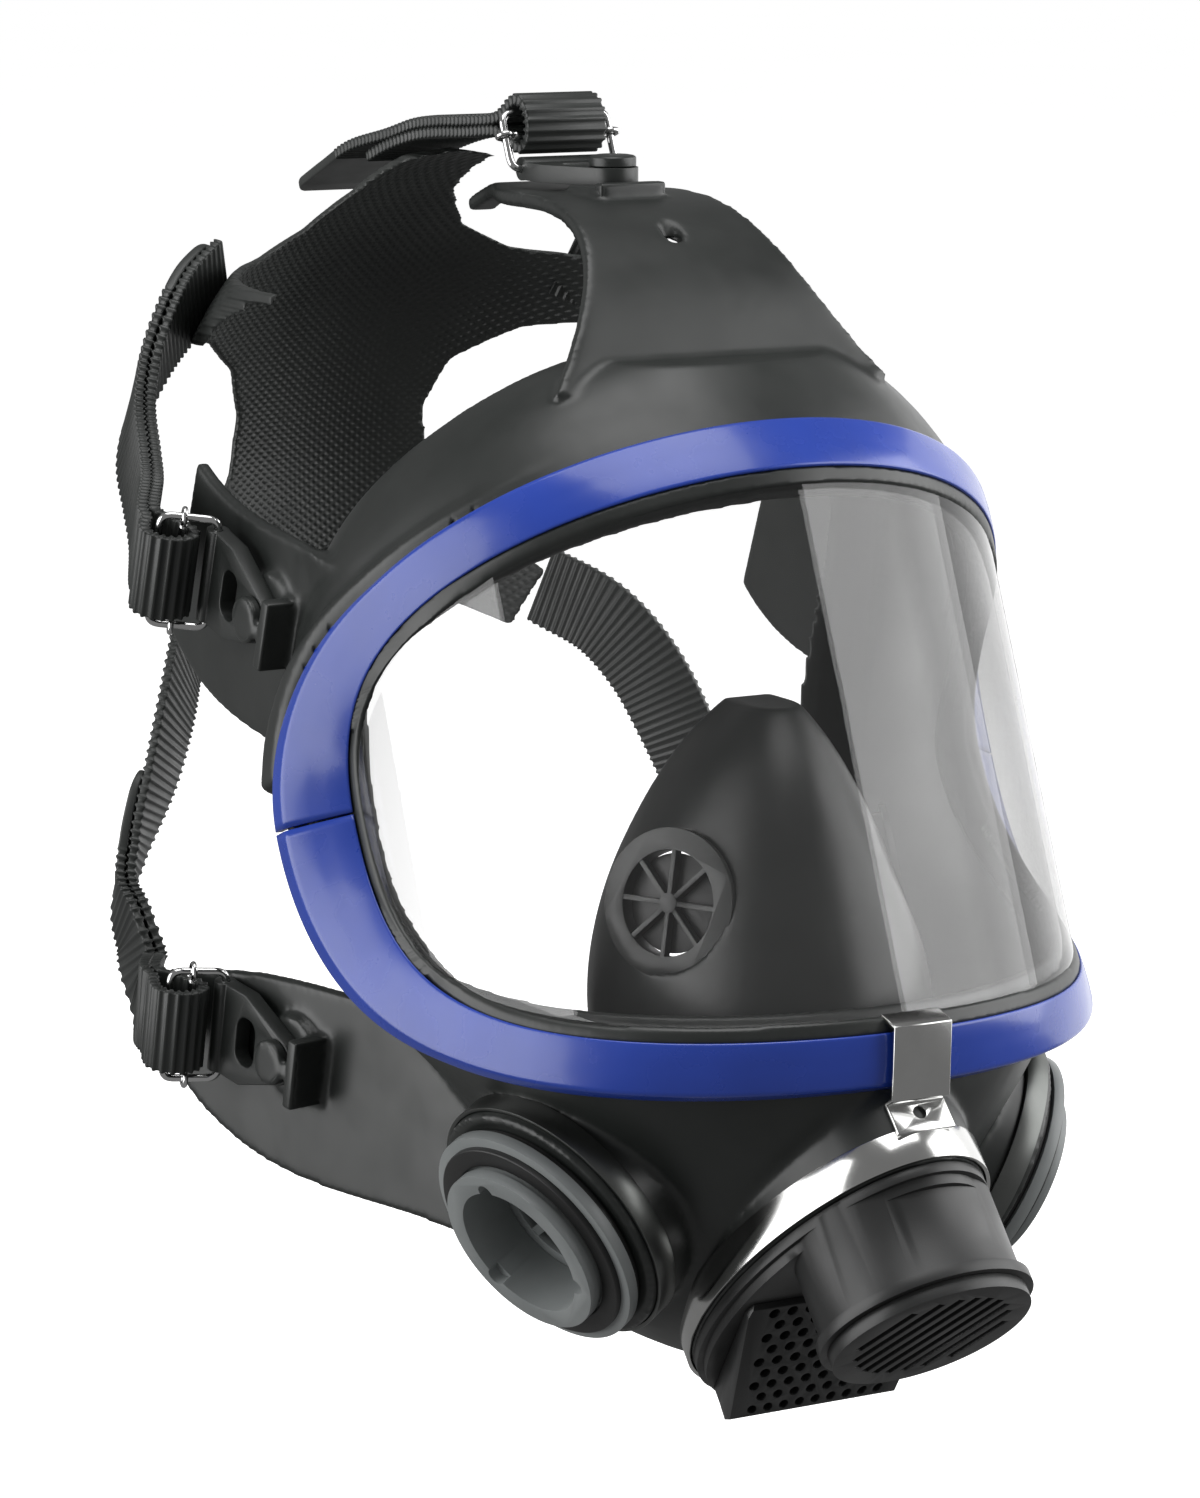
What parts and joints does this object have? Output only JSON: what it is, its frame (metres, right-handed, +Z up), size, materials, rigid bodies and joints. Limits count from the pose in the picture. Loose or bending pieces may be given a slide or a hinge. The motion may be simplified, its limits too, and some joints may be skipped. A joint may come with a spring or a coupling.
{
  "type": "full-face respirator",
  "caption": "Full-face respirator: wrap-round clear visor in a rigid frame, rubber face blank, twin filter ports, exhalation and speech housing, nose cup and buckled head harness.",
  "frame": {"origin": "centre of the face opening, where the wearer's face is sealed, level with the middle of the visor's side joints", "axes": "+Z up as worn, -Y the way the wearer looks out through the visor, +X the wearer's left"},
  "size_m": [0.2268, 0.3541, 0.3181],
  "materials": {
    "black_rubber": "satin moulded rubber",
    "cup_rubber": "soft matt rubber",
    "gasket_rubber": "thin smooth rubber",
    "clear_visor": "clear hard-coated polycarbonate",
    "blue_frame": "semi-gloss moulded plastic",
    "black_plastic": "satin moulded plastic",
    "pale_plastic": "satin grey plastic",
    "film": "thin plastic film",
    "polished_steel": "polished stainless sheet",
    "chrome_wire": "bright plated wire"
  },
  "bodies": {
    "mask": {"face_blank": "black_rubber", "forehead_flap": "black_rubber", "temple_flap_left": "black_rubber", "temple_flap_right": "black_rubber", "jaw_flap_left": "black_rubber", "jaw_flap_right": "black_rubber", "visor_lens": "clear_visor", "visor_frame_upper": "blue_frame", "visor_frame_lower": "blue_frame", "clamp_band": "polished_steel", "band_screw": "polished_steel", "frame_clip": "polished_steel", "valve_housing": "black_plastic", "speech_cover": "black_plastic", "speech_diaphragm": "film", "exhalation_grille": "black_plastic", "exhalation_seat": "black_plastic", "oronasal_cup": "cup_rubber", "head_pad": "black_rubber", "strap_top": "black_rubber", "strap_temple_left": "black_rubber", "strap_temple_right": "black_rubber", "strap_neck_left": "black_rubber", "strap_neck_right": "black_rubber", "port_connector_right": "pale_plastic", "port_gasket_right": "gasket_rubber", "port_clamp_right": "polished_steel", "inhalation_seat_right": "pale_plastic", "control_valve_seat_right": "pale_plastic", "port_connector_left": "pale_plastic", "port_gasket_left": "gasket_rubber", "port_clamp_left": "polished_steel", "inhalation_seat_left": "pale_plastic", "control_valve_seat_left": "pale_plastic"},
    "buckle_top": {"buckle_tab_top": "black_rubber", "buckle_wire_top": "chrome_wire", "buckle_lock_bar_top": "chrome_wire", "strap_loop_top": "black_rubber"},
    "buckle_temple_left": {"buckle_tab_temple_left": "black_rubber", "buckle_wire_temple_left": "chrome_wire", "buckle_lock_bar_temple_left": "chrome_wire", "strap_loop_temple_left": "black_rubber"},
    "buckle_temple_right": {"buckle_tab_temple_right": "black_rubber", "buckle_wire_temple_right": "chrome_wire", "buckle_lock_bar_temple_right": "chrome_wire", "strap_loop_temple_right": "black_rubber"},
    "buckle_lower_left": {"buckle_tab_lower_left": "black_rubber", "buckle_wire_lower_left": "chrome_wire", "buckle_lock_bar_lower_left": "chrome_wire", "strap_loop_lower_left": "black_rubber"},
    "buckle_lower_right": {"buckle_tab_lower_right": "black_rubber", "buckle_wire_lower_right": "chrome_wire", "buckle_lock_bar_lower_right": "chrome_wire", "strap_loop_lower_right": "black_rubber"},
    "exhalation_disc": {"exhalation_disc": "gasket_rubber"},
    "inhalation_disc_right": {"inhalation_disc_right": "gasket_rubber"},
    "control_valve_disc_right": {"control_valve_disc_right": "gasket_rubber"},
    "inhalation_disc_left": {"inhalation_disc_left": "gasket_rubber"},
    "control_valve_disc_left": {"control_valve_disc_left": "gasket_rubber"}
  },
  "joints": [
    {"name": "buckle_top_swivel", "type": "hinge", "parent": "mask", "child": "buckle_top", "pos_m": [0, 0.0345, 0.1348], "axis": [0, 0, 1], "range_deg": [-10, 10]},
    {"name": "buckle_temple_left_swivel", "type": "hinge", "parent": "mask", "child": "buckle_temple_left", "pos_m": [0.0878, 0.0479, 0.0322], "axis": [0.9986, -0.0529, 0], "range_deg": [-10, 10]},
    {"name": "buckle_temple_right_swivel", "type": "hinge", "parent": "mask", "child": "buckle_temple_right", "pos_m": [-0.0878, 0.0479, 0.0322], "axis": [-0.9986, -0.0529, 0], "range_deg": [-10, 10]},
    {"name": "buckle_lower_left_swivel", "type": "hinge", "parent": "mask", "child": "buckle_lower_left", "pos_m": [0.0754, 0.0664, -0.0864], "axis": [0.9792, -0.2028, 0], "range_deg": [-10, 10]},
    {"name": "buckle_lower_right_swivel", "type": "hinge", "parent": "mask", "child": "buckle_lower_right", "pos_m": [-0.0754, 0.0664, -0.0864], "axis": [-0.9792, -0.2028, 0], "range_deg": [-10, 10]},
    {"name": "exhalation_disc_lift", "type": "slide", "parent": "mask", "child": "exhalation_disc", "axis": [0, -0.6678, -0.7443], "range_m": [0, 0.0025], "stiffness_N_per_m": 60},
    {"name": "inhalation_disc_right_lift", "type": "slide", "parent": "mask", "child": "inhalation_disc_right", "axis": [0.8592, 0.2447, 0.4493], "range_m": [0, 0.002], "stiffness_N_per_m": 60},
    {"name": "control_valve_disc_right_lift", "type": "slide", "parent": "mask", "child": "control_valve_disc_right", "axis": [0.8653, 0.4581, -0.2036], "range_m": [0, 0.0016], "stiffness_N_per_m": 60},
    {"name": "inhalation_disc_left_lift", "type": "slide", "parent": "mask", "child": "inhalation_disc_left", "axis": [-0.8592, 0.2447, 0.4493], "range_m": [0, 0.002], "stiffness_N_per_m": 60},
    {"name": "control_valve_disc_left_lift", "type": "slide", "parent": "mask", "child": "control_valve_disc_left", "axis": [-0.8653, 0.4581, -0.2036], "range_m": [0, 0.0016], "stiffness_N_per_m": 60}
  ]
}
